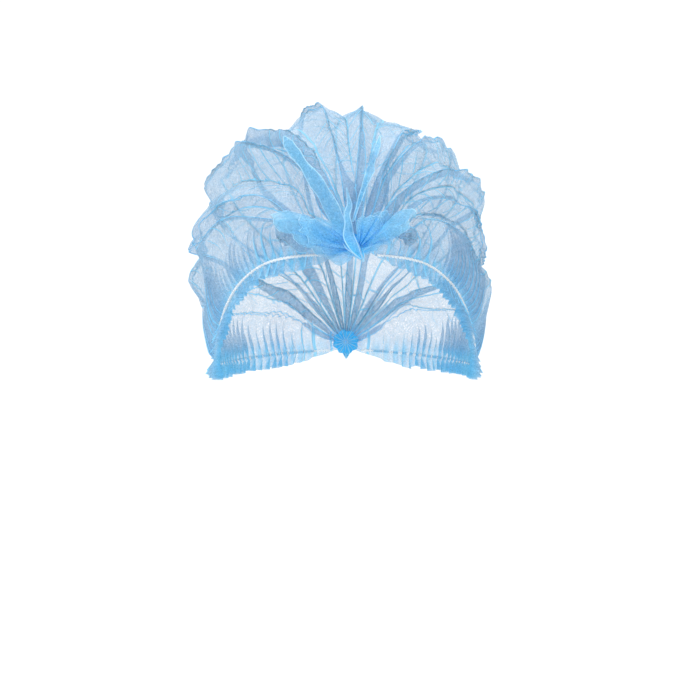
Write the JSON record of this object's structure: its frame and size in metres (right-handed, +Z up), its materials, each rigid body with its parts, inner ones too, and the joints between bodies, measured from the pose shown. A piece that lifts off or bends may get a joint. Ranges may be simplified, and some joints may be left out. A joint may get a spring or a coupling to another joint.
{
  "type": "disposable hairnet",
  "caption": "Disposable pleated bouffant cap of thin nonwoven sheet, as worn, with an elastic along each gathered side edge and a pinched knot at brow and nape.",
  "frame": {"origin": "mount head_seat: the spot inside the crown that rests on the top of the wearer's head", "axes": "+Y from the brow knot towards the back of the head, +Z up, +X to the right as seen from the front; -Z is the way the head leaves the cap"},
  "size_m": [0.1752, 0.2208, 0.1555],
  "materials": {
    "sheet": "thin matte nonwoven, see-through where it is one layer",
    "knot": "many layers of the same nonwoven pressed together",
    "elastic": "white elastic thread under white stitching"
  },
  "bodies": {
    "root": {"crown": "sheet", "rim_left": "sheet", "rim_right": "sheet", "elastic_left": "elastic", "elastic_right": "elastic", "front_knot": "knot", "rear_knot": "knot"}
  },
  "joints": []
}
